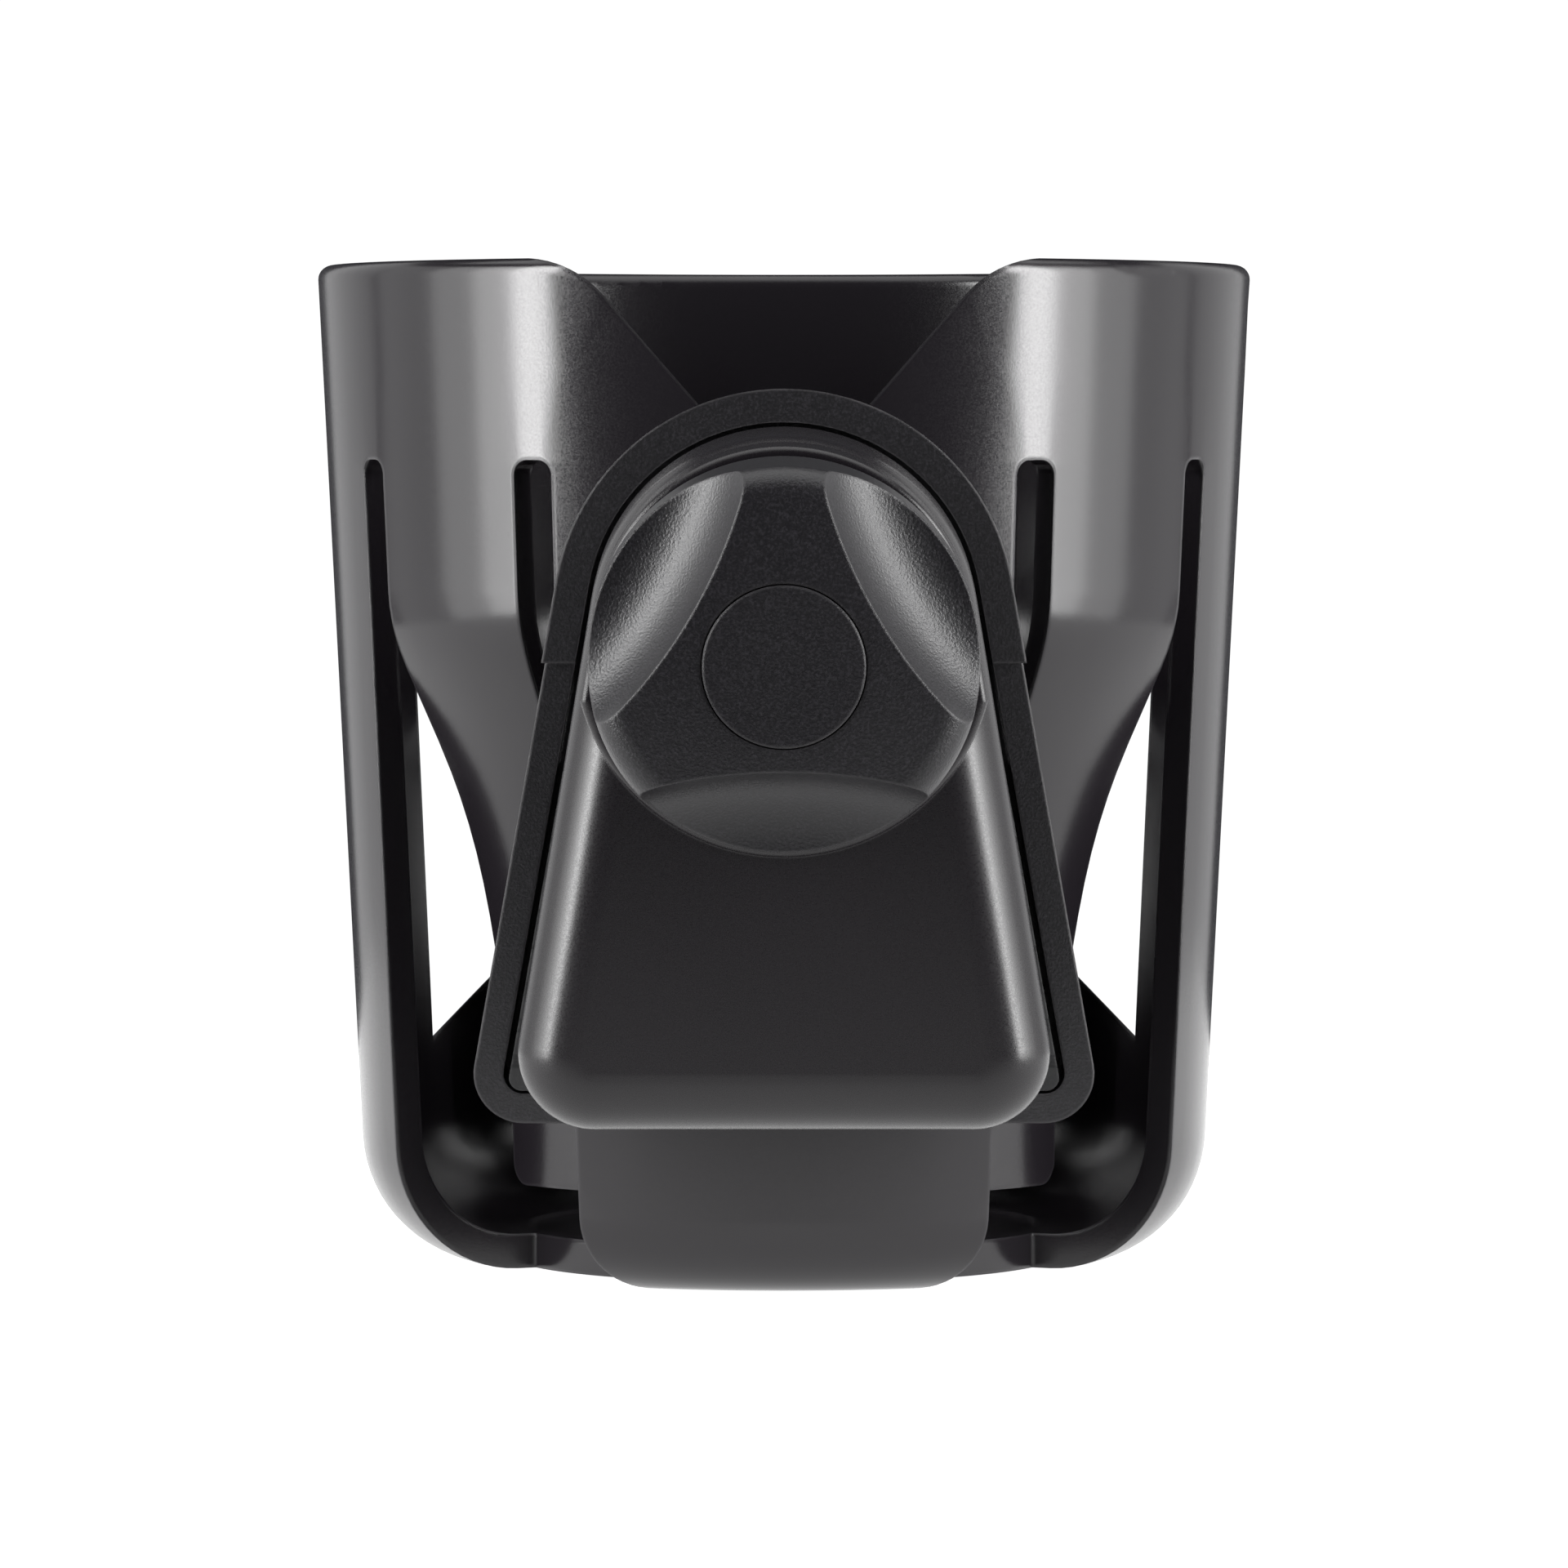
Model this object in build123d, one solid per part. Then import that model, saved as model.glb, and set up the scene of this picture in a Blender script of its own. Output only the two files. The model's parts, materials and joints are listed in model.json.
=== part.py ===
"""Cup holder with a screw clamp.

A tapered open cup hangs from the fixed jaw of a screw clamp.  Four spring fingers moulded into the
cup wall lean inwards and steady cups of different widths.  The cup turns on the fixed jaw about a
shoulder screw.  A three-lobed knob runs on a fixed bolt and draws the moving jaw in against a coil
spring, while two guide pins keep the jaws square.

Row frame, millimetres: the origin is the middle of the fixed jaw's rubber grip face, +Z is up, and
the clamp faces -Y.  The cup stands behind the clamp on +Y.

Clamp pieces are drawn in a clamp frame, whose origin is on the bolt's centre line: X across, Y up
and Z outwards from the fixed grip face to the knob.  Cup pieces are drawn in a cup frame with the
cup's centre line on Z and its underside at zero.
"""

from build123d import *
from math import cos, radians, sin, tan
import os

# ---------------------------------------------------------------- cup
CUP_HEIGHT = 99.0
CUP_TOP_RADIUS = 46.45
CUP_BOTTOM_RADIUS = 41.5  # where the straight wall would meet the underside
WALL = 2.8
CORNER_RADIUS = 13.0
SPINE_CORNER_RADIUS = 7.5
FLOOR_TOP = 3.4
SEAT_RADIUS = 25.5  # shallow round seat for the cup's base
SEAT_DEPTH = 0.4
FOOT_INNER_RADIUS = 22.5
FOOT_DEPTH = 0.8
FLOOR_RADIUS = 27.2  # edge of the floor where the near windows cut through to it
RING_BOTTOM = 79.8  # lower edge of the closed ring round the top
SLOT_END_ROUNDING = 1.5
SLOT_INNER_RADIUS = 39.0
SLOT_OVERRUN = 20.0
SPINE_TOP_HALF_WIDTH = 22.6
SPINE_FOOT_HALF_WIDTH = 19.3
SPINE_FOOT_ROUNDING = 7.5
SPINE_TOP_ANGLE = 29.2
STRAP_EDGE_ANGLE = 64.4  # from the middle of the near side round to the strap
FINGER_START_ANGLE = 34.6
FINGER_END_ANGLE = 59.0
FINGER_TOP = 67.0  # where the finger leaves the wall
FINGER_TIP = 8.7
FINGER_TIP_WALL = 2.2
FINGER_TIP_ROUNDING = 2.5
FINGER_OUTSIDE = [(42.1, 58.0), (37.8, 49.0), (34.5, 39.0), (32.2, 27.0)]  # radius, height
FINGER_TIP_RADIUS = 31.0
FAR_BAND_HEIGHT = 19.0  # top of the far lower band beside each strap
FAR_BAND_START = 37.6
NOTCH_HALF_WIDTH = 20.3
NOTCH_DEPTH = 20.0
NOTCH_FLANK_ANGLE = 48.8
NOTCH_SHOULDER_ROUNDING = 10.4
NOTCH_ROOT_ROUNDING = 6.0

# ---------------------------------------------------------------- clamp axis
CLAMP_LEAN = 4.5  # the bolt points this much below level
BOLT_ABOVE_GRIP = 29.4  # bolt centre line above the middle of the grip face
BOLT_HEIGHT_ON_CUP = 66.6  # where the bolt's line meets the cup wall
WALL_OUT = -17.2  # the cup wall, behind the grip face

# ---------------------------------------------------------------- swivel
HUB_RADIUS = 10.6
HUB_ROOT = -19.6
HUB_FACE = -14.2
HUB_COUNTERBORE_RADIUS = 6.8
HUB_COUNTERBORE_FLOOR = -17.0
SHOULDER_RADIUS = 3.0
RUNNING_GAP = 0.05
SWIVEL_HEAD_RADIUS = 6.0
SWIVEL_HEAD_BACK = -20.3
SWIVEL_HEAD_FRONT = -18.1
DISC_SPRING_FRONT = -17.3
DISC_SPRING_SHEET = 0.5
SWIVEL_THREAD_RADIUS = 2.5
SWIVEL_THREAD_END = -5.9
RING_FRONT = -13.3
RING_BACK = -13.9
RING_HOLE_RADIUS = 4.0

# ---------------------------------------------------------------- fixed jaw
JAW_ARCH_RADIUS = 21.4
JAW_FLARE = 10.1
JAW_FOOT = 48.0  # bottom edge below the bolt
JAW_CORNER = 5.0
JAW_RIM = 3.1
JAW_DRAFT = 4.5  # the outside wall narrows towards the back
JAW_BACK = -13.3
JAW_PLATE_FRONT = -10.3
ARCH_RIM_FRONT = 2.0
MOUTH_RIM_FRONT = -2.0
RIM_STEP = -4.0  # where the rim steps back, below the bolt
BOSS_RADIUS = 10.3
BOSS_FRONT = -1.5
NUT_ACROSS_FLATS = 8.0
NUT_BACK = -9.8
NUT_FRONT = -6.0
HEAD_ACROSS_FLATS = 10.0
HEAD_BACK = -5.5
KEEPER_FRONT = 0.0
KEEPER_SCREW_OFFSET = 7.7
PIN_X = 12.2
PIN_Y = -5.0
PIN_RADIUS = 1.5
PIN_BACK = -12.5
PIN_BOSS_RADIUS = 2.9
PAD_TOP = -14.5
PAD_BACK = -3.2
PAD_GROOVE = 0.6
PLATFORM_INSET = 1.6
CORE_INSET = 4.6
CORE_FLOOR = -5.8

# ---------------------------------------------------------------- bolt, spring, guide pins
BOLT_RADIUS = 3.0
BOLT_END = 36.8
SPRING_RADIUS = 5.6
SPRING_WIRE_RADIUS = 0.5
SPRING_TURNS = 5.0

# ---------------------------------------------------------------- moving jaw
REST_GAP = 8.5
GRIP_PLATE_BACK = REST_GAP + 2.5
FRAME_FRONT = GRIP_PLATE_BACK + 3.0
COVER_ARCH_RADIUS = 17.6
COVER_ARCH_RISE = 1.0  # the arch's centre above the bolt
COVER_FLARE = 9.4
COVER_FOOT = 45.6  # bottom edge below the arch's centre
COVER_CORNER = 7.0
COVER_FRONT = 26.0
COVER_EDGE_ROUNDING = 5.8
COVER_WALL = 2.4
COLLAR_RADIUS = 18.9
COLLAR_INSET = 0.5
COLLAR_BACK = 20.0
COLLAR_FRONT = 27.6
COLLAR_ROUNDING = 0.8
SLEEVE_BOSS_RADIUS = 9.6
SLEEVE_BOSS_BACK = 17.9
SCREW_POSTS = [(13.0, -12.5), (15.5, -36.0)]  # mirrored left and right
POST_RADIUS = 3.2
PIN_SOCKET_FRONT = 17.0
GRIP_TOP = -9.0
GRIP_FOOT = 42.6
RIB_PITCH = 3.4
RIB_RADIUS = 1.1
RIB_REACH = 0.2  # how far the ribs' ends stand out past the cover

# ---------------------------------------------------------------- knob
KNOB_RADIUS = 17.4
KNOB_BASE = 28.5
KNOB_FRONT = 43.5
KNOB_DOME = 0.8
KNOB_EDGE_ROUNDING = 3.2
SCALLOP_RADIUS = 8.5
SCALLOP_SWEEP = 40.5
SCALLOP_CENTRE = 58.3
SCALLOP_HEIGHT = 44.0
CAP_RADIUS = 7.2
CAP_SEAM = 0.12
CAP_THICKNESS = 1.6
SLEEVE_RADIUS = 6.0
SLEEVE_BACK = 16.0
SLEEVE_FRONT = 37.0
SLEEVE_HEX = 17.0
SLEEVE_HEX_BACK = 30.0
SLEEVE_HEX_FRONT = 34.0
WASHER_RADIUS = 13.6
WASHER_THICKNESS = 0.6

draft_slope = (CUP_TOP_RADIUS - CUP_BOTTOM_RADIUS) / CUP_HEIGHT
lean = radians(CLAMP_LEAN)
grip_plane = Plane(origin=(0, 0, 0), x_dir=(1, 0, 0), z_dir=(0, -cos(lean), -sin(lean)))
clamp_place = grip_plane.location * Pos(0, BOLT_ABOVE_GRIP, 0)


def wall_radius(height):
    """Outer radius of the straight cup wall at a height above the underside."""
    return CUP_BOTTOM_RADIUS + draft_slope * height


wall_point = (clamp_place * Pos(0, 0, WALL_OUT)).position
cup_place = Pos(0, wall_point.Y + wall_radius(BOLT_HEIGHT_ON_CUP), wall_point.Z - BOLT_HEIGHT_ON_CUP)


# ---------------------------------------------------------------- helpers in the clamp frame
def rod(radius, back, front, x=0.0, y=0.0):
    """A round bar along the bolt's direction, between two distances out."""
    return Pos(x, y, back) * Cylinder(
        radius, front - back, align=(Align.CENTER, Align.CENTER, Align.MIN)
    )


def tube(outer, inner, back, front):
    """A ring along the bolt's direction."""
    return rod(outer, back, front) - rod(inner, back, front)


def hex_bar(across_flats, back, front):
    """A six-sided bar along the bolt's direction."""
    corner_radius = across_flats / 2 / cos(radians(30))
    profile = Pos(0, 0, back) * RegularPolygon(corner_radius, 6)
    return extrude(profile, amount=front - back)


def jaw_outline(radius, flare, foot, corner):
    """The plate shape of both jaws: an arch about the bolt, flared sides and a flat foot."""
    touch_x = radius * cos(radians(flare))
    touch_y = radius * sin(radians(flare))
    foot_x = touch_x + (touch_y + foot) * tan(radians(flare))
    arch = ThreePointArc((touch_x, touch_y), (0, radius), (-touch_x, touch_y))
    sides = Polyline((-touch_x, touch_y), (-foot_x, -foot), (foot_x, -foot), (touch_x, touch_y))
    outline = make_face([*arch.edges(), *sides.edges()])
    return fillet(outline.vertices().sort_by(Axis.Y)[:2], corner)


def jaw_plate(radius, flare, foot, corner, back, front):
    """A flat plate of the jaw outline between two distances out."""
    return extrude(Pos(0, 0, back) * jaw_outline(radius, flare, foot, corner), amount=front - back)


def fixed_plate(inset, corner, back, front):
    """A plate of the fixed jaw's outline, drawn in from its edge all round."""
    return jaw_plate(JAW_ARCH_RADIUS - inset, JAW_FLARE, JAW_FOOT - inset, corner, back, front)


def cover_plate(inset, back, front):
    """A plate of the moving jaw's outline, drawn in from its edge all round."""
    plate = jaw_plate(
        COVER_ARCH_RADIUS - inset,
        COVER_FLARE,
        COVER_FOOT - inset,
        COVER_CORNER - inset,
        back,
        front,
    )
    return Pos(0, COVER_ARCH_RISE, 0) * plate


def below(height, back, front):
    """A large block below a height, for keeping or cutting the lower part of a plate."""
    return Pos(0, height, back) * Box(
        120, 120, front - back, align=(Align.CENTER, Align.MAX, Align.MIN)
    )


# ---------------------------------------------------------------- cup, in the cup frame
def bowl(corner_radius):
    """The cup as a closed bowl of revolution, with a given rounding at its foot."""
    top = wall_radius(CUP_HEIGHT)
    inner_foot = (CUP_BOTTOM_RADIUS - WALL + draft_slope * FLOOR_TOP, FLOOR_TOP)
    outline = make_face(
        Polyline(
            (0, FOOT_DEPTH),
            (FOOT_INNER_RADIUS, FOOT_DEPTH),
            (FOOT_INNER_RADIUS, 0),
            (CUP_BOTTOM_RADIUS, 0),
            (top, CUP_HEIGHT),
            (top - WALL, CUP_HEIGHT),
            inner_foot,
            (SEAT_RADIUS, FLOOR_TOP),
            (SEAT_RADIUS, FLOOR_TOP - SEAT_DEPTH),
            (0, FLOOR_TOP - SEAT_DEPTH),
            close=True,
        )
    )
    outer_corner = outline.vertices().sort_by_distance((CUP_BOTTOM_RADIUS, 0, 0))[0]
    outline = fillet(outer_corner, corner_radius)
    inner_corner = outline.vertices().sort_by_distance((*inner_foot, 0))[0]
    outline = fillet(inner_corner, corner_radius - WALL)
    lip = outline.vertices().sort_by(Axis.Y)[-2:]
    outline = fillet(lip, 0.49 * WALL)
    return revolve(Plane.XZ * outline, Axis.Z)


def sector(start_angle, end_angle, inner, outer, bottom, top):
    """A block between two angles from the near side, counted round towards +X."""
    ring = Cylinder(outer, top - bottom, align=(Align.CENTER, Align.CENTER, Align.MIN))
    ring -= Cylinder(inner, top - bottom, align=(Align.CENTER, Align.CENTER, Align.MIN))
    corners = [(0, 0)]
    for angle in (start_angle, end_angle):
        reach = 2 * outer
        corners.append((reach * sin(radians(angle)), -reach * cos(radians(angle))))
    wedge = extrude(make_face(Polyline(*corners, close=True)), amount=top - bottom)
    return Pos(0, 0, bottom) * (ring & wedge)


def spine_block():
    """A tapered block through the cup from front to back that keeps the two spines."""
    slope = (SPINE_TOP_HALF_WIDTH - SPINE_FOOT_HALF_WIDTH) / RING_BOTTOM
    top = SPINE_FOOT_HALF_WIDTH + slope * CUP_HEIGHT
    outline = make_face(
        Polyline(
            (-SPINE_FOOT_HALF_WIDTH, 0),
            (SPINE_FOOT_HALF_WIDTH, 0),
            (top, CUP_HEIGHT),
            (-top, CUP_HEIGHT),
            close=True,
        )
    )
    outline = fillet(outline.vertices().sort_by(Axis.Y)[:2], SPINE_FOOT_ROUNDING)
    return extrude(Plane.XZ * outline, amount=60, both=True)


def slot(start_angle, end_angle):
    """The cutter for one narrow slot beside a finger's root, with a rounded upper end."""
    cutter = sector(
        start_angle, end_angle, SLOT_INNER_RADIUS, 60, FINGER_TOP - SLOT_OVERRUN, RING_BOTTOM
    )
    ends = cutter.faces().sort_by(Axis.Z)[-1].edges().filter_by(GeomType.LINE)
    return fillet(ends, SLOT_END_ROUNDING)


def window(far):
    """The cutter for one near or far window on the +X side, with its two slots at the top."""
    cutter = sector(18, STRAP_EDGE_ANGLE, FLOOR_RADIUS, 60, -1, FINGER_TOP)
    cutter -= spine_block()
    cutter += slot(SPINE_TOP_ANGLE, FINGER_START_ANGLE)
    cutter += slot(FINGER_END_ANGLE, STRAP_EDGE_ANGLE)
    if not far:
        return cutter
    band = make_face(
        Polyline(
            (0, -5),
            (60, -5),
            (60, FAR_BAND_HEIGHT),
            (FAR_BAND_START, FAR_BAND_HEIGHT),
            (0, FAR_BAND_HEIGHT + FAR_BAND_START),
            close=True,
        )
    )
    cutter -= extrude(Plane.XZ * band, amount=70, both=True)
    return mirror(cutter, Plane.XZ)


def finger():
    """One spring finger on the near side towards +X: wall at the top, leaning in to a free tip."""
    outside = [(wall_radius(FINGER_TOP), FINGER_TOP), *FINGER_OUTSIDE, (FINGER_TIP_RADIUS, FINGER_TIP)]
    inside = []
    for place, (radius, height) in enumerate(outside):
        share = place / (len(outside) - 1)
        thickness = WALL + (FINGER_TIP_WALL - WALL) * share
        inside.append((radius - thickness * (1.12 if 0 < share < 0.7 else 1.0), height))
    entry = (-draft_slope, -1)
    outer_line = Spline(*outside, tangents=[entry, (0, -1)])
    inner_line = Spline(*inside, tangents=[entry, (0, -1)])
    ends = [Line(outside[place], inside[place]) for place in (0, -1)]
    outline = make_face([*outer_line.edges(), *inner_line.edges(), *ends[0].edges(), *ends[1].edges()])
    start = Plane.XZ.rotated((0, 0, FINGER_START_ANGLE - 90))
    blade = revolve(start * outline, Axis.Z, revolution_arc=FINGER_END_ANGLE - FINGER_START_ANGLE)
    corners = blade.edges().filter_by(GeomType.LINE).group_by(Axis.Z)[0]
    return fillet(corners, FINGER_TIP_ROUNDING)


def notch():
    """The cutter for the V in the near rim, which clears a mug's handle."""
    flank = tan(radians(NOTCH_FLANK_ANGLE))
    root = CUP_HEIGHT - NOTCH_DEPTH
    root_half = NOTCH_HALF_WIDTH - NOTCH_DEPTH / flank
    top = CUP_HEIGHT + 0.02
    outline = make_face(
        Polyline(
            (-60, top),
            (-NOTCH_HALF_WIDTH, top),
            (-root_half, root),
            (root_half, root),
            (NOTCH_HALF_WIDTH, top),
            (60, top),
            (60, top + 20),
            (-60, top + 20),
            close=True,
        )
    )
    shoulders = [outline.vertices().sort_by_distance((s * NOTCH_HALF_WIDTH, top, 0))[0] for s in (-1, 1)]
    outline = fillet(shoulders, NOTCH_SHOULDER_ROUNDING)
    outline = fillet(outline.vertices().sort_by(Axis.Y)[:2], NOTCH_ROOT_ROUNDING / 2)
    return extrude(Plane.XZ * outline, amount=60)


def make_cup():
    """The cup body with its swivel hub, in the row frame."""
    cup = bowl(CORNER_RADIUS)
    near_spine = bowl(SPINE_CORNER_RADIUS) & sector(-40, 40, 20, 60, 0, 30)
    cup += near_spine & spine_block()
    for far in (False, True):
        cutter = window(far)
        cup -= cutter
        cup -= mirror(cutter, Plane.YZ)
    near_finger = finger()
    for blade in (near_finger, mirror(near_finger, Plane.XZ)):
        cup += blade
        cup += mirror(blade, Plane.YZ)
    cup -= notch()
    cup = cup_place * cup
    cup += clamp_place * rod(HUB_RADIUS, HUB_ROOT, HUB_FACE)
    cup -= clamp_place * rod(SHOULDER_RADIUS + RUNNING_GAP, HUB_ROOT - 8, HUB_FACE)
    cup -= clamp_place * rod(HUB_COUNTERBORE_RADIUS, HUB_ROOT - 8, HUB_COUNTERBORE_FLOOR)
    return cup


# ---------------------------------------------------------------- swivel, in the clamp frame
def make_swivel_screw():
    """Shoulder screw from inside the cup: low round head with a hex socket."""
    screw = rod(SWIVEL_HEAD_RADIUS, SWIVEL_HEAD_BACK, SWIVEL_HEAD_FRONT)
    screw = fillet(screw.edges().sort_by(Axis.Z)[0], 0.7)
    screw += rod(SHOULDER_RADIUS, SWIVEL_HEAD_FRONT, RING_FRONT)
    screw += rod(SWIVEL_THREAD_RADIUS, RING_FRONT, SWIVEL_THREAD_END)
    return screw - hex_bar(4.0, SWIVEL_HEAD_BACK, SWIVEL_HEAD_FRONT - 0.2)


def make_disc_spring():
    """Coned spring washer that keeps the swivel stiff."""
    hole = SHOULDER_RADIUS + 0.15
    edge = SWIVEL_HEAD_RADIUS + 0.3
    outline = make_face(
        Polyline(
            (hole, SWIVEL_HEAD_FRONT),
            (hole, SWIVEL_HEAD_FRONT + DISC_SPRING_SHEET),
            (edge, DISC_SPRING_FRONT),
            (edge, DISC_SPRING_FRONT - DISC_SPRING_SHEET),
            close=True,
        )
    )
    return revolve(Plane.XZ * outline, Axis.Z)


def make_swivel_ring():
    """Slippery wear ring on the back of the fixed jaw."""
    return tube(HUB_RADIUS, RING_HOLE_RADIUS, RING_BACK, RING_FRONT)


def make_swivel_nut():
    """Nut that holds the shoulder screw in the fixed jaw."""
    return hex_bar(NUT_ACROSS_FLATS, NUT_BACK, NUT_FRONT) - rod(
        SWIVEL_THREAD_RADIUS + 0.05, NUT_BACK, NUT_FRONT
    )


# ---------------------------------------------------------------- fixed jaw, in the clamp frame
def make_fixed_jaw():
    """Arch-topped tray with a raised rim, a bolt boss, guide bosses and a grip platform."""
    outline = jaw_outline(JAW_ARCH_RADIUS, JAW_FLARE, JAW_FOOT, JAW_CORNER)
    front = Pos(0, 0, ARCH_RIM_FRONT) * outline
    jaw = extrude(front, amount=JAW_BACK - ARCH_RIM_FRONT, taper=JAW_DRAFT)
    jaw = fillet(jaw.faces().sort_by(Axis.Z)[0].edges(), 1.2)
    jaw -= fixed_plate(JAW_RIM, JAW_CORNER - JAW_RIM, JAW_PLATE_FRONT, ARCH_RIM_FRONT + 1)
    step = make_face(
        Polyline(
            (RIM_STEP, ARCH_RIM_FRONT + 1),
            (RIM_STEP, ARCH_RIM_FRONT),
            (RIM_STEP - 0.3, MOUTH_RIM_FRONT),
            (-60, MOUTH_RIM_FRONT),
            (-60, ARCH_RIM_FRONT + 1),
            close=True,
        )
    )
    jaw -= extrude(Plane.YZ * step, amount=60, both=True)
    platform = fixed_plate(JAW_RIM + PLATFORM_INSET, 1.0, JAW_PLATE_FRONT, PAD_BACK)
    jaw += platform & below(PAD_TOP, JAW_PLATE_FRONT, PAD_BACK)
    core = fixed_plate(JAW_RIM + CORE_INSET, 1.0, JAW_BACK, CORE_FLOOR)
    core &= below(PAD_TOP - 3, JAW_BACK, CORE_FLOOR)
    core -= Pos(0, -30, 0) * Box(1.8, 60, 60)
    core -= Pos(0, -30, 0) * Box(60, 1.8, 60)
    jaw -= core
    jaw += rod(BOSS_RADIUS, JAW_PLATE_FRONT, BOSS_FRONT)
    jaw -= rod(SWIVEL_THREAD_RADIUS + 0.1, JAW_BACK, BOSS_FRONT)
    jaw -= hex_bar(NUT_ACROSS_FLATS + 0.1, NUT_BACK, BOSS_FRONT)
    jaw -= hex_bar(HEAD_ACROSS_FLATS + 0.1, HEAD_BACK, BOSS_FRONT)
    for side in (-1, 1):
        jaw += rod(PIN_BOSS_RADIUS, JAW_PLATE_FRONT, BOSS_FRONT, side * PIN_X, PIN_Y)
        jaw -= rod(PIN_RADIUS + RUNNING_GAP, JAW_BACK, BOSS_FRONT, side * PIN_X, PIN_Y)
        jaw -= rod(1.25, -7.5, BOSS_FRONT, 0, side * KEEPER_SCREW_OFFSET)
    return jaw


def make_fixed_pad():
    """Rubber grip pad on the fixed jaw, with level grooves."""
    pad = fixed_plate(JAW_RIM + PAD_GROOVE, 1.2, PAD_BACK, 0)
    pad &= below(PAD_TOP, PAD_BACK, 0)
    for row in range(8):
        pad -= Pos(0, PAD_TOP - 3.2 - row * RIB_PITCH, 0) * Rot(0, 90, 0) * Cylinder(0.6, 80)
    return pad


def make_clamp_bolt():
    """Hex-headed bolt, its head caught in the fixed jaw and its shank reaching into the knob."""
    bolt = hex_bar(HEAD_ACROSS_FLATS, HEAD_BACK, BOSS_FRONT)
    shank = rod(BOLT_RADIUS, BOSS_FRONT, BOLT_END)
    return bolt + chamfer(shank.edges().sort_by(Axis.Z)[-1], 0.6)


def make_bolt_keeper():
    """Round plate over the bolt's head, let in for its two screws."""
    keeper = tube(BOSS_RADIUS, BOLT_RADIUS + 0.1, BOSS_FRONT, KEEPER_FRONT)
    for side in (-1, 1):
        keeper -= rod(1.35, BOSS_FRONT, KEEPER_FRONT, 0, side * KEEPER_SCREW_OFFSET)
        keeper -= rod(2.2, KEEPER_FRONT - 0.9, KEEPER_FRONT, 0, side * KEEPER_SCREW_OFFSET)
    return keeper


def screw(x, y, head_face, tip, head_radius, head_height, shank_radius):
    """A small socket-head screw; its head face may look forward or back."""
    towards = 1 if tip > head_face else -1
    under_head = head_face + towards * head_height
    low, high = sorted((head_face, under_head))
    body = rod(head_radius, low, high, x, y)
    low, high = sorted((under_head, tip))
    body += rod(shank_radius, low, high, x, y)
    socket = extrude(
        Pos(x, y, head_face) * RegularPolygon(0.55 * head_radius, 6),
        amount=towards * 0.6 * head_height,
    )
    return body - socket


def make_keeper_screws():
    """The two screws that hold the bolt keeper."""
    return [
        screw(0, side * KEEPER_SCREW_OFFSET, KEEPER_FRONT, -7.2, 2.1, 0.9, 1.2) for side in (-1, 1)
    ]


def make_clamp_spring():
    """Coil spring round the bolt that pushes the jaws apart."""
    low = KEEPER_FRONT + SPRING_WIRE_RADIUS + 0.05
    high = GRIP_PLATE_BACK - SPRING_WIRE_RADIUS - 0.05
    path = Pos(0, 0, low) * Helix((high - low) / SPRING_TURNS, high - low, SPRING_RADIUS)
    start = Plane(origin=path @ 0, z_dir=path % 0)
    return sweep(start * Circle(SPRING_WIRE_RADIUS), path=path, is_frenet=True)


# ---------------------------------------------------------------- moving jaw, in the clamp frame
def make_cover():
    """Smooth housing of the moving jaw, hollow behind, with the knob's collar and bearing."""
    cover = cover_plate(0, GRIP_PLATE_BACK, COVER_FRONT)
    cover = fillet(cover.faces().sort_by(Axis.Z)[-1].edges(), COVER_EDGE_ROUNDING)
    hollow = cover_plate(COVER_WALL, GRIP_PLATE_BACK, COVER_FRONT - COVER_WALL)
    hollow = fillet(
        hollow.faces().sort_by(Axis.Z)[-1].edges(), COVER_EDGE_ROUNDING - COVER_WALL
    )
    collar = rod(COLLAR_RADIUS, COLLAR_BACK, COLLAR_FRONT)
    collar &= cover_plate(COLLAR_INSET, COLLAR_BACK, COLLAR_FRONT)
    cover += fillet(collar.faces().sort_by(Axis.Z)[-1].edges(), COLLAR_ROUNDING)
    cover -= hollow
    cover += rod(SLEEVE_BOSS_RADIUS, SLEEVE_BOSS_BACK, COVER_FRONT - 0.5)
    for x, y in SCREW_POSTS:
        for side in (-1, 1):
            cover += rod(POST_RADIUS, FRAME_FRONT, COVER_FRONT - COVER_WALL + 0.3, side * x, y)
            cover -= rod(1.25, FRAME_FRONT, COVER_FRONT - 4.0, side * x, y)
    return cover - rod(SLEEVE_RADIUS + RUNNING_GAP, SLEEVE_BOSS_BACK, COLLAR_FRONT)


def make_frame():
    """Stiff plate inside the back of the cover that takes the grip load and the guide pins."""
    frame = cover_plate(COVER_WALL + 0.1, GRIP_PLATE_BACK, FRAME_FRONT)
    frame -= rod(BOLT_RADIUS + 0.5, GRIP_PLATE_BACK, FRAME_FRONT)
    for side in (-1, 1):
        frame += rod(PIN_BOSS_RADIUS, FRAME_FRONT, PIN_SOCKET_FRONT, side * PIN_X, PIN_Y)
        frame -= rod(PIN_RADIUS, GRIP_PLATE_BACK, PIN_SOCKET_FRONT, side * PIN_X, PIN_Y)
        for x, y in SCREW_POSTS:
            frame -= rod(1.4, GRIP_PLATE_BACK, FRAME_FRONT, side * x, y)
            frame -= rod(2.5, GRIP_PLATE_BACK, GRIP_PLATE_BACK + 1.6, side * x, y)
    return frame


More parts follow.
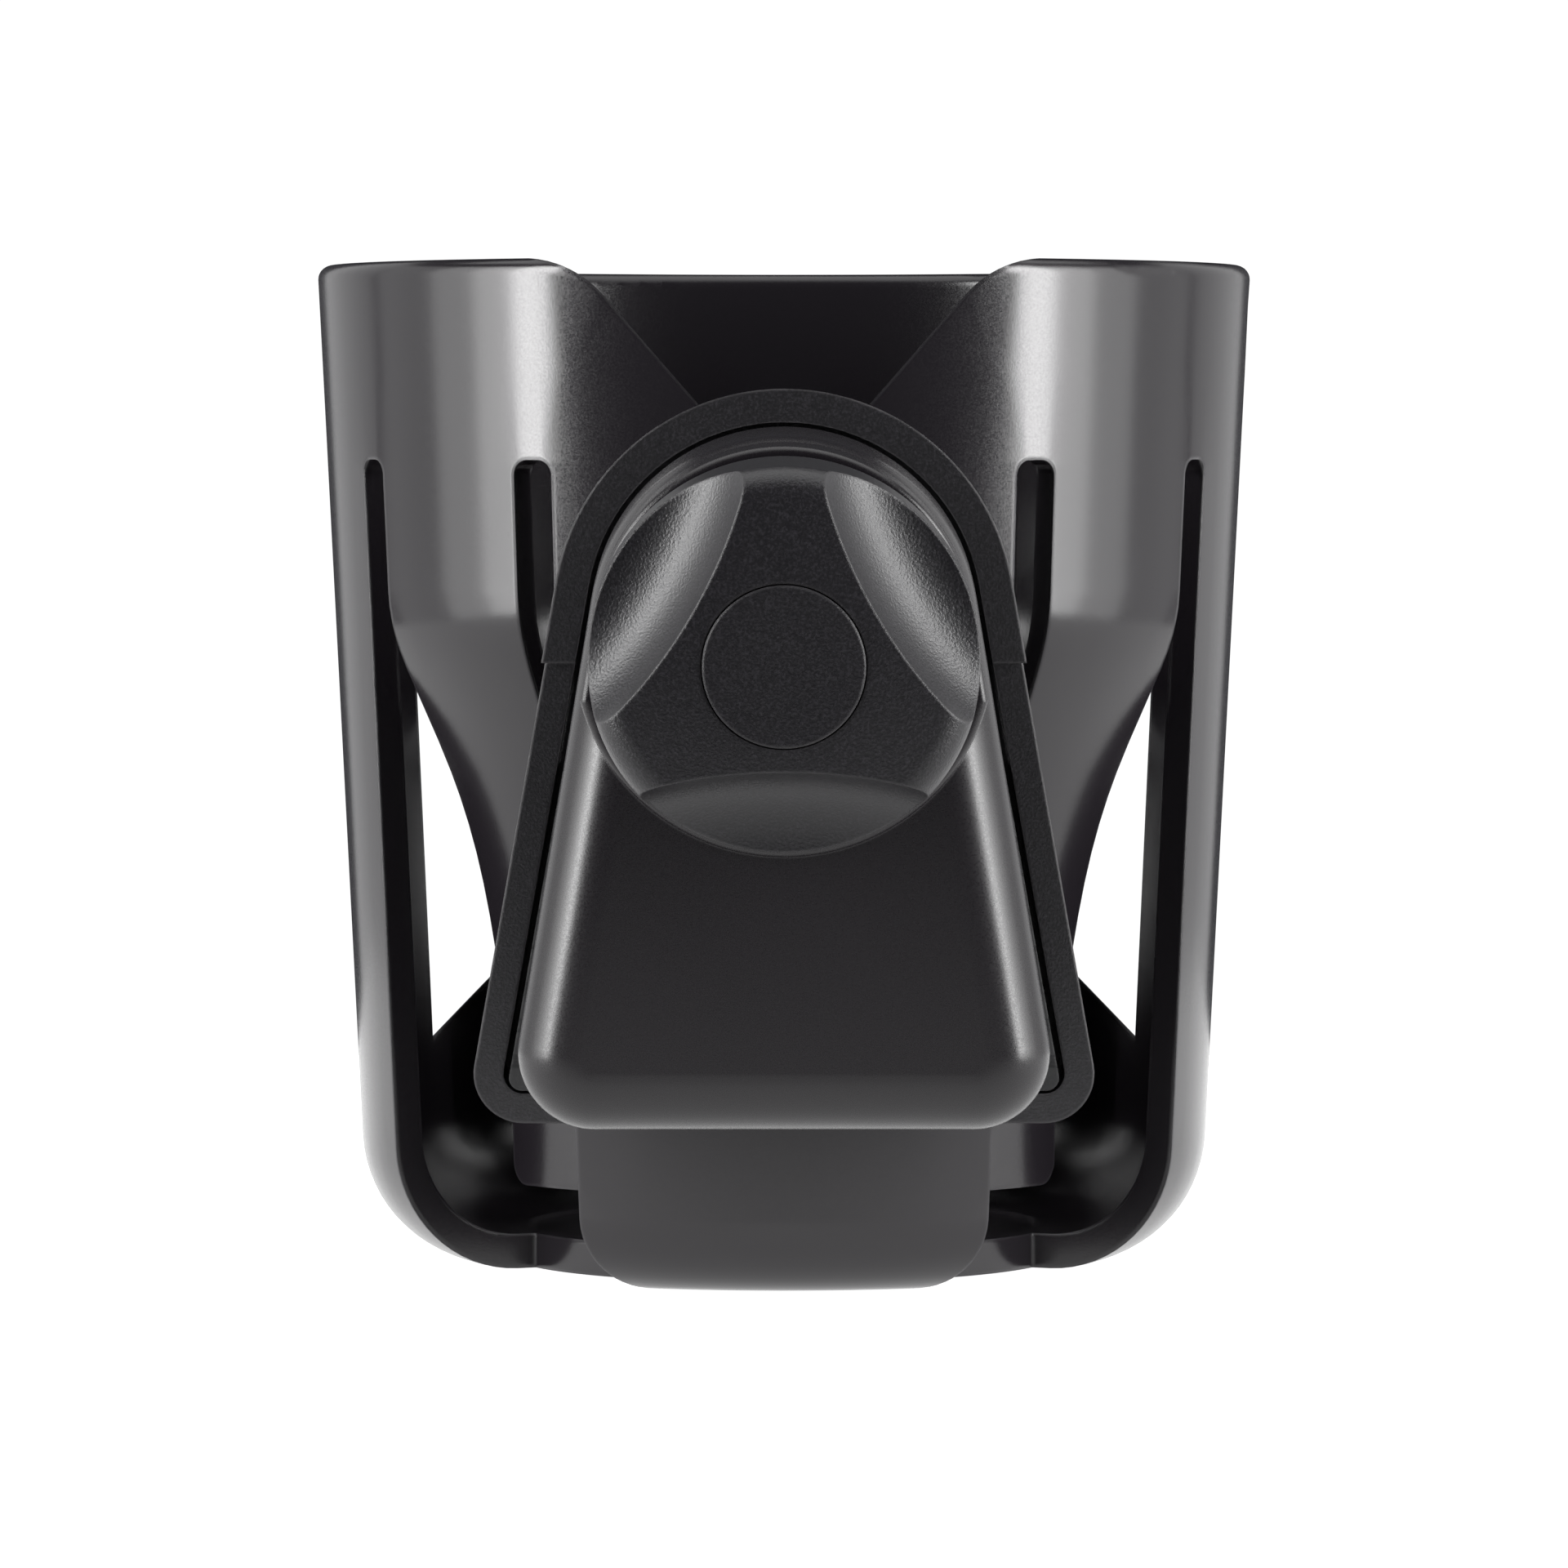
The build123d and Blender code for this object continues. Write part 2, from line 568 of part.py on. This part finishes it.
def make_moving_pad():
    """Rubber grip pad on the moving jaw; the round ends of its ribs stand out at both sides."""
    core_front = REST_GAP + RIB_RADIUS
    pad = cover_plate(0.8, core_front, GRIP_PLATE_BACK)
    pad &= below(GRIP_TOP, core_front, GRIP_PLATE_BACK)
    count = int((GRIP_FOOT + GRIP_TOP - 6) / RIB_PITCH)
    for row in range(count):
        y = GRIP_TOP - 2 - row * RIB_PITCH
        side_line = (COVER_ARCH_RISE - y) * tan(radians(COVER_FLARE)) + COVER_ARCH_RADIUS
        half = side_line + RIB_REACH - RIB_RADIUS
        bar = Rot(0, 90, 0) * Cylinder(RIB_RADIUS, 2 * half)
        ends = [Pos(side * half, 0, 0) * Sphere(RIB_RADIUS) for side in (-1, 1)]
        pad += Pos(0, y, core_front) * (bar + ends)
    return pad


def make_guide_pins():
    """The two steel pins that keep the jaws square."""
    pins = []
    for side in (-1, 1):
        pin = rod(PIN_RADIUS, PIN_BACK, PIN_SOCKET_FRONT, side * PIN_X, PIN_Y)
        pins.append(chamfer(pin.edges().sort_by(Axis.Z)[0], 0.3))
    return pins


def make_cover_screws():
    """The four screws that hold the frame in the cover."""
    return [
        screw(side * x, y, GRIP_PLATE_BACK, COVER_FRONT - 5.0, 2.4, 1.6, 1.2)
        for x, y in SCREW_POSTS
        for side in (-1, 1)
    ]


def make_thrust_washer():
    """Steel washer on the collar that the knob bears on."""
    return tube(WASHER_RADIUS, SLEEVE_RADIUS + 0.4, COLLAR_FRONT, COLLAR_FRONT + WASHER_THICKNESS)


# ---------------------------------------------------------------- knob, in the clamp frame
def make_knob_body():
    """Round knob with three scallops that leave three lobes, one of them upwards."""
    dome = ThreePointArc(
        (KNOB_RADIUS, KNOB_FRONT - KNOB_DOME * 1.4),
        (KNOB_RADIUS / 2, KNOB_FRONT - KNOB_DOME / 3),
        (0, KNOB_FRONT),
    )
    sides = Polyline((0, KNOB_FRONT), (0, KNOB_BASE), (KNOB_RADIUS, KNOB_BASE), dome @ 0)
    outline = make_face([*dome.edges(), *sides.edges()])
    outer = outline.vertices().sort_by(Axis.X)[-2:].sort_by(Axis.Y)
    outline = fillet(outer[1], KNOB_EDGE_ROUNDING)
    outer = outline.vertices().sort_by_distance((KNOB_RADIUS, KNOB_BASE, 0))[0]
    outline = fillet(outer, 0.8)
    knob = revolve(Plane.XZ * outline, Axis.Z)
    for angle in (30, 150, 270):
        knob -= Rot(0, 0, angle) * Pos(SCALLOP_CENTRE, 0, SCALLOP_HEIGHT) * Torus(
            SCALLOP_SWEEP, SCALLOP_RADIUS
        )
    knob -= rod(CAP_RADIUS + CAP_SEAM, KNOB_FRONT - CAP_THICKNESS, KNOB_FRONT + 1)
    knob -= rod(BOLT_RADIUS + 1, SLEEVE_FRONT, KNOB_FRONT - CAP_THICKNESS - 0.9)
    knob -= rod(SLEEVE_RADIUS, KNOB_BASE, SLEEVE_FRONT)
    return knob - hex_bar(SLEEVE_HEX, KNOB_BASE, SLEEVE_HEX_FRONT)


def make_knob_cap():
    """Flush cap over the end of the knob."""
    cap = rod(CAP_RADIUS, KNOB_FRONT - CAP_THICKNESS, KNOB_FRONT + 0.02)
    return fillet(cap.edges().sort_by(Axis.Z)[-1], 0.15)


def make_knob_insert():
    """Threaded brass sleeve with a hex shoulder set in the knob."""
    sleeve = rod(SLEEVE_RADIUS, SLEEVE_BACK, SLEEVE_FRONT)
    sleeve += hex_bar(SLEEVE_HEX, SLEEVE_HEX_BACK, SLEEVE_HEX_FRONT)
    sleeve -= tube(SLEEVE_RADIUS + 1, SLEEVE_RADIUS - 0.8, 16.8, 17.6)
    return sleeve - rod(BOLT_RADIUS + RUNNING_GAP, SLEEVE_BACK, SLEEVE_FRONT)


def make_snap_ring():
    """Open ring in the sleeve's groove that keeps the knob on the moving jaw."""
    ring = tube(SLEEVE_RADIUS + 1.8, SLEEVE_RADIUS - 0.75, 16.85, 17.55)
    return ring - Pos(0, -8, 17.2) * Box(4.5, 10, 3)


cup_body = make_cup()
clamp_pieces = {
    "swivel_screw": make_swivel_screw(),
    "swivel_disc_spring": make_disc_spring(),
    "swivel_ring": make_swivel_ring(),
    "swivel_nut": make_swivel_nut(),
    "fixed_jaw": make_fixed_jaw(),
    "fixed_jaw_pad": make_fixed_pad(),
    "clamp_bolt": make_clamp_bolt(),
    "bolt_keeper": make_bolt_keeper(),
    "keeper_screws": make_keeper_screws(),
    "clamp_spring": make_clamp_spring(),
    "moving_jaw_cover": make_cover(),
    "moving_jaw_frame": make_frame(),
    "moving_jaw_pad": make_moving_pad(),
    "guide_pins": make_guide_pins(),
    "cover_screws": make_cover_screws(),
    "thrust_washer": make_thrust_washer(),
    "knob_body": make_knob_body(),
    "knob_cap": make_knob_cap(),
    "knob_insert": make_knob_insert(),
    "snap_ring": make_snap_ring(),
}

os.makedirs("parts", exist_ok=True)
export_step(cup_body, "parts/cup_body.step")
for name, piece in clamp_pieces.items():
    solids = piece if isinstance(piece, list) else [piece]
    placed = [clamp_place * solid for solid in solids]
    export_step(Compound(children=placed) if len(placed) > 1 else placed[0], f"parts/{name}.step")
print("cup frame origin in the row frame:", cup_place.position)
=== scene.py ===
"""Looks for the desk clamp cup holder: camera, studio and materials on the CAD frame."""

import json
import math

import bpy
import mathutils
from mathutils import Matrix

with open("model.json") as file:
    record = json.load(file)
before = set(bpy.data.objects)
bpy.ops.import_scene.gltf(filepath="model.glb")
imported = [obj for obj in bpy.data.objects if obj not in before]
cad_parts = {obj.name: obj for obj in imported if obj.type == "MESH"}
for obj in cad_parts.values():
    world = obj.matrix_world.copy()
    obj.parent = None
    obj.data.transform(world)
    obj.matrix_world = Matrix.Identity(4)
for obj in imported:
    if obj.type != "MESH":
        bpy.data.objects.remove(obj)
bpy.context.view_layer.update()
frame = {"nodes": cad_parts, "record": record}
scene = bpy.context.scene

# The cup's upright axis and the underside of its foot, in the frame's metres.
CUP_AXIS_Y = 0.0596703
CUP_FOOT_Z = -0.0359411

# ---------------------------------------------------------------- camera
CAMERA_DISTANCE = 0.850  # level distance from the cup's axis
CAMERA_HEIGHT = 0.082  # above the cup's foot
CAMERA_PITCH = math.radians(2.336)
FOCAL_LENGTH = 195.4  # mm
SENSOR_WIDTH = 36.0  # mm
CLIP_START = 0.05
CLIP_END = 20.0


def make_camera():
    """Long lens straight in front of the clamp, a little above it, looking slightly down."""
    data = bpy.data.cameras.new("camera")
    data.lens = FOCAL_LENGTH
    data.sensor_width = SENSOR_WIDTH
    data.clip_start = CLIP_START
    data.clip_end = CLIP_END
    camera = bpy.data.objects.new("camera", data)
    camera.location = (0.0, CUP_AXIS_Y - CAMERA_DISTANCE, CUP_FOOT_Z + CAMERA_HEIGHT)
    camera.rotation_euler = (math.pi / 2 - CAMERA_PITCH, 0.0, 0.0)
    scene.collection.objects.link(camera)
    scene.camera = camera


# ---------------------------------------------------------------- studio
WHITE_STRENGTH = 1.05  # the backdrop as the camera sees it
ROOM_COLOUR = (0.9, 0.92, 1.0, 1.0)
ROOM_STRENGTH = 0.06  # the backdrop as a light and in reflections

LIGHT_AIM_Z = 0.02
PANEL_DISTANCE = 1.1
PANEL_HEIGHT = 1.2
PANEL_CENTRE_Z = 0.20
# Each pair of panels: degrees round the cup from the front, degrees wide, radiance.
PANELS = [
    (63, 12, 18.0),
    (75, 12, 6.5),
    (88, 14, 2.9),
    (106, 22, 1.0),
    (137, 36, 0.8),
]
TOP_SETBACK = 0.05  # behind the cup's axis
TOP_Z = 0.95
TOP_WIDTH = 1.4
TOP_DEPTH = 1.0
TOP_POWER = 6.6

TABLE_WIDTH = 0.5
TABLE_DEPTH = 0.56
TABLE_GAP = 0.0002  # under the cup's foot, so that the two faces stay apart
TABLE_GREY = 0.35
TABLE_ROUGHNESS = 0.9
TABLE_GLOW = 0.90
GLOW_START_Y = -0.14
GLOW_FULL_Y = 0.0


def area_light(name, place, look_at, width, height, power):
    """A flat soft light facing a point."""
    data = bpy.data.lights.new(name, "AREA")
    data.shape = "RECTANGLE"
    data.size = width
    data.size_y = height
    data.energy = power
    light = bpy.data.objects.new(name, data)
    light.location = place
    direction = mathutils.Vector(look_at) - mathutils.Vector(place)
    light.rotation_euler = direction.to_track_quat("-Z", "Y").to_euler()
    scene.collection.objects.link(light)


def around(azimuth, distance, height):
    """A point round the cup: 0 degrees is in front of the clamp, positive towards +X."""
    angle = math.radians(azimuth)
    return (distance * math.sin(angle), CUP_AXIS_Y - distance * math.cos(angle), height)


def make_world():
    """A backdrop that is white to the camera and nearly dark as a light and in reflections."""
    world = bpy.data.worlds.new("studio")
    scene.world = world
    world.use_nodes = True
    nodes, links = world.node_tree.nodes, world.node_tree.links
    nodes.clear()
    out = nodes.new("ShaderNodeOutputWorld")
    mix = nodes.new("ShaderNodeMixShader")
    seen = nodes.new("ShaderNodeBackground")
    seen.inputs["Color"].default_value = (1.0, 1.0, 1.0, 1.0)
    seen.inputs["Strength"].default_value = WHITE_STRENGTH
    room = nodes.new("ShaderNodeBackground")
    room.inputs["Color"].default_value = ROOM_COLOUR
    room.inputs["Strength"].default_value = ROOM_STRENGTH
    path = nodes.new("ShaderNodeLightPath")
    links.new(path.outputs["Is Camera Ray"], mix.inputs["Fac"])
    links.new(room.outputs["Background"], mix.inputs[1])
    links.new(seen.outputs["Background"], mix.inputs[2])
    links.new(mix.outputs["Shader"], out.inputs["Surface"])


def make_lights():
    """Five tall soft panels round each side, dimmer towards the back, and a soft top light."""
    centre = (0.0, CUP_AXIS_Y, LIGHT_AIM_Z)
    for azimuth, spread, radiance in PANELS:
        width = 2 * PANEL_DISTANCE * math.tan(math.radians(spread / 2))
        power = radiance * math.pi * width * PANEL_HEIGHT
        for side in (-1, 1):
            place = around(side * azimuth, PANEL_DISTANCE, PANEL_CENTRE_Z)
            area_light("panel", place, centre, width, PANEL_HEIGHT, power)
    top_place = (0.0, CUP_AXIS_Y + TOP_SETBACK, TOP_Z)
    area_light("top", top_place, centre, TOP_WIDTH, TOP_DEPTH, TOP_POWER)


def make_table():
    """A small table, white to the camera; its glow in reflections fades out towards the front."""
    bpy.ops.mesh.primitive_plane_add(size=1.0, location=(0, CUP_AXIS_Y, CUP_FOOT_Z - TABLE_GAP))
    floor = bpy.context.object
    floor.name = "table"
    floor.scale = (TABLE_WIDTH, TABLE_DEPTH, 1)
    paper = bpy.data.materials.new("table_paper")
    paper.use_nodes = True
    nodes, links = paper.node_tree.nodes, paper.node_tree.links
    shader = nodes["Principled BSDF"]
    shader.inputs["Base Color"].default_value = (TABLE_GREY, TABLE_GREY, TABLE_GREY, 1.0)
    shader.inputs["Roughness"].default_value = TABLE_ROUGHNESS
    shader.inputs["Emission Color"].default_value = (1, 1, 1, 1)
    geometry = nodes.new("ShaderNodeNewGeometry")
    axes = nodes.new("ShaderNodeSeparateXYZ")
    links.new(geometry.outputs["Position"], axes.inputs["Vector"])
    fade = nodes.new("ShaderNodeMapRange")
    fade.interpolation_type = "SMOOTHSTEP"
    fade.inputs["From Min"].default_value = GLOW_START_Y
    fade.inputs["From Max"].default_value = GLOW_FULL_Y
    fade.inputs["To Min"].default_value = 0.0
    fade.inputs["To Max"].default_value = TABLE_GLOW
    links.new(axes.outputs["Y"], fade.inputs["Value"])
    path = nodes.new("ShaderNodeLightPath")
    glow = nodes.new("ShaderNodeMath")
    glow.operation = "MAXIMUM"
    links.new(path.outputs["Is Camera Ray"], glow.inputs[0])
    links.new(fade.outputs["Result"], glow.inputs[1])
    links.new(glow.outputs["Value"], shader.inputs["Emission Strength"])
    floor.data.materials.append(paper)


# ---------------------------------------------------------------- materials
# A lighter black painted along edges as a highlight.
EDGE_HIGHLIGHT_BLACK = (0.05, 0.047, 0.052)
GRAINED_BLACK = (0.0060, 0.0054, 0.0068)
CLOUD_SHADE = 0.86  # how far the darker patches of a plastic fall below its base
# Painted glints: bright specks painted into the colour in place of highlights.
PAINTED_GLINT_GAIN = 2.6  # how far its bright specks rise above it
BEVEL_SAMPLES = 4


class Maker:
    """Small helper round one material's node tree."""

    def __init__(self, name):
        self.material = bpy.data.materials.new(name)
        self.material.use_nodes = True
        self.nodes = self.material.node_tree.nodes
        self.links = self.material.node_tree.links
        self.shader = self.nodes["Principled BSDF"]
        self.coords = self.nodes.new("ShaderNodeTexCoord").outputs["Object"]

    def set(self, **values):
        """Set the shader's plain inputs by name."""
        for key, value in values.items():
            self.shader.inputs[key.replace("_", " ")].default_value = value

    def noise(self, scale, detail=2.0, roughness=0.5):
        """Noise in the part's own metres: scale is features per metre."""
        node = self.nodes.new("ShaderNodeTexNoise")
        node.inputs["Scale"].default_value = scale
        node.inputs["Detail"].default_value = detail
        node.inputs["Roughness"].default_value = roughness
        self.links.new(self.coords, node.inputs["Vector"])
        return node.outputs["Fac"]

    def ramp(self, fac, low, high, from_low=0.3, from_high=0.7):
        """Map a factor to a number range."""
        node = self.nodes.new("ShaderNodeMapRange")
        node.inputs["From Min"].default_value = from_low
        node.inputs["From Max"].default_value = from_high
        node.inputs["To Min"].default_value = low
        node.inputs["To Max"].default_value = high
        self.links.new(fac, node.inputs["Value"])
        return node.outputs["Result"]

    def math(self, operation, a, b):
        """Combine two numbers or outputs."""
        node = self.nodes.new("ShaderNodeMath")
        node.operation = operation
        for socket, value in zip(node.inputs, (a, b)):
            if isinstance(value, (int, float)):
                socket.default_value = value
            else:
                self.links.new(value, socket)
        return node.outputs["Value"]

    def mix_colour(self, fac, a, b):
        """Blend from colour a to colour b; each is a tuple or an output."""
        node = self.nodes.new("ShaderNodeMix")
        node.data_type = "RGBA"
        self.links.new(fac, node.inputs["Factor"])
        for socket, value in zip((node.inputs[6], node.inputs[7]), (a, b)):
            if isinstance(value, tuple):
                socket.default_value = (*value, 1.0)
            else:
                self.links.new(value, socket)
        return node.outputs[2]

    def bump(self, height, distance, normal):
        """Tilt a normal by a height output; distance is the relief's depth in metres."""
        node = self.nodes.new("ShaderNodeBump")
        node.inputs["Strength"].default_value = 1.0
        node.inputs["Distance"].default_value = distance
        self.links.new(height, node.inputs["Height"])
        self.links.new(normal, node.inputs["Normal"])
        return node.outputs["Normal"]

    def rounded(self, radius):
        """The normal with edges rounded over a radius, for the light to catch."""
        node = self.nodes.new("ShaderNodeBevel")
        node.samples = BEVEL_SAMPLES
        node.inputs["Radius"].default_value = radius
        return node.outputs["Normal"]

    def edges(self, radius):
        """1 where the rounded normal leaves the face's own, as at an edge, and 0 on flats."""
        rounded = self.rounded(radius)
        own = self.nodes.new("ShaderNodeNewGeometry").outputs["True Normal"]
        dot = self.nodes.new("ShaderNodeVectorMath")
        dot.operation = "DOT_PRODUCT"
        self.links.new(rounded, dot.inputs[0])
        self.links.new(own, dot.inputs[1])
        return self.ramp(dot.outputs["Value"], 1.0, 0.0, from_low=0.75, from_high=0.98)

    def link(self, output, key):
        """Feed an output to one of the shader's inputs."""
        self.links.new(output, self.shader.inputs[key])


def shade(factor, colour):
    """A colour made lighter or darker by a factor."""
    return tuple(factor * v for v in colour)


def moulded_plastic(
    name, base, edge_highlight, rough, grain, grain_depth, waviness=0.0, edge_radius=0.0004, painted_glint_strength=0.0
):
    """Moulded plastic: mould grain, slow sheen changes, a painted highlight along the edges and,
    where asked, painted glints.
    """
    m = Maker(name)
    m.set(IOR=1.52)
    cloud = m.noise(scale=22, detail=3.0)
    speck = m.noise(scale=grain, detail=2.0, roughness=0.6)
    # The edges are painted lighter as a highlight, broken into patches by noise.
    highlight_patches = m.ramp(m.noise(scale=300, detail=3.0), 0.35, 1.0)
    edge_highlight_mask = m.math("MULTIPLY", m.edges(edge_radius), highlight_patches)
    body = m.mix_colour(m.ramp(cloud, 0.0, 1.0), shade(CLOUD_SHADE, base), base)
    # Bright specks painted into the colour as glints.
    if painted_glint_strength:
        painted_glint_mask = m.ramp(speck, 0.0, painted_glint_strength, from_low=0.48, from_high=0.70)
        body = m.mix_colour(painted_glint_mask, body, shade(PAINTED_GLINT_GAIN, base))
    body = m.mix_colour(edge_highlight_mask, body, edge_highlight)
    m.link(body, "Base Color")
    rough_low, rough_high = rough
    roughness = m.ramp(cloud, rough_low, rough_high)
    roughness = m.math("ADD", roughness, m.ramp(speck, -0.04, 0.05))
    m.link(roughness, "Roughness")
    normal = m.rounded(edge_radius)
    normal = m.bump(speck, grain_depth, normal)
    if waviness:
        normal = m.bump(m.noise(scale=60, detail=1.0), waviness, normal)
    m.link(normal, "Normal")
    return m.material


def rubber(name, base):
    """Dull moulded rubber with a fine bloom."""
    m = Maker(name)
    m.set(IOR=1.5)
    bloom = m.ramp(m.noise(scale=60, detail=4.0), 0.0, 1.0)
    m.link(m.mix_colour(bloom, base, shade(2.2, base)), "Base Color")
    m.link(m.ramp(m.noise(scale=500, detail=3.0), 0.62, 0.85), "Roughness")
    m.link(m.bump(m.noise(scale=2500, detail=3.0), 0.00004, m.rounded(0.0003)), "Normal")
    return m.material


def metal(name, base, rough):
    """Plain metal with a fine mottle in its sheen and small colour changes."""
    m = Maker(name)
    m.set(Metallic=1.0)
    mottle = m.noise(scale=900, detail=3.0, roughness=0.6)
    cloud = m.noise(scale=80, detail=3.0)
    tint = m.mix_colour(m.ramp(cloud, 0.0, 1.0), shade(0.8, base), base)
    m.link(tint, "Base Color")
    sheen = m.ramp(mottle, rough - 0.08, rough + 0.08)
    m.link(m.math("ADD", sheen, m.ramp(cloud, -0.03, 0.05)), "Roughness")
    m.link(m.bump(mottle, 0.000015, m.rounded(0.0002)), "Normal")
    return m.material


def make_materials():
    """One material for each slot of the part."""
    return {
        "cup_plastic": moulded_plastic(
            "cup_plastic", base=(0.0100, 0.0085, 0.0105), edge_highlight=EDGE_HIGHLIGHT_BLACK, rough=(0.15, 0.20),
            grain=5200, grain_depth=0.000003, waviness=0.00003, edge_radius=0.0006,
        ),
        "housing_plastic": moulded_plastic(
            "housing_plastic", base=(0.0060, 0.0046, 0.0062), edge_highlight=EDGE_HIGHLIGHT_BLACK, rough=(0.24, 0.30),
            grain=5200, grain_depth=0.000004, waviness=0.00002,
        ),
        "textured_plastic": moulded_plastic(
            "textured_plastic", base=GRAINED_BLACK, edge_highlight=(0.09, 0.085, 0.09), rough=(0.42, 0.50),
            grain=4000, grain_depth=0.00004, painted_glint_strength=0.9,
        ),
        "knob_plastic": moulded_plastic(
            "knob_plastic", base=GRAINED_BLACK, edge_highlight=(0.07, 0.066, 0.07), rough=(0.31, 0.40),
            grain=4000, grain_depth=0.00005, painted_glint_strength=0.9,
        ),
        "pad_rubber": rubber("pad_rubber", base=(0.010, 0.010, 0.0105)),
        "acetal": moulded_plastic(
            "acetal", base=(0.52, 0.51, 0.47), edge_highlight=(0.6, 0.59, 0.55), rough=(0.35, 0.45),
            grain=2000, grain_depth=0.000006,
        ),
        "zinc_steel": metal("zinc_steel", base=(0.60, 0.61, 0.64), rough=0.28),
        "spring_steel": metal("spring_steel", base=(0.42, 0.42, 0.44), rough=0.32),
        "brass": metal("brass", base=(0.66, 0.48, 0.20), rough=0.25),
    }


def dress_cad(materials):
    """Every CAD node takes its slot's material."""
    slots = {s["node"]: s["material_slot"] for s in frame["record"]["subparts"]}
    for name, node in frame["nodes"].items():
        node.data.materials.clear()
        node.data.materials.append(materials[slots[name]])


make_camera()
make_world()
make_lights()
make_table()
dress_cad(make_materials())
scene.unit_settings.system = "METRIC"
scene.view_settings.view_transform = "Standard"

bpy.context.view_layer.update()
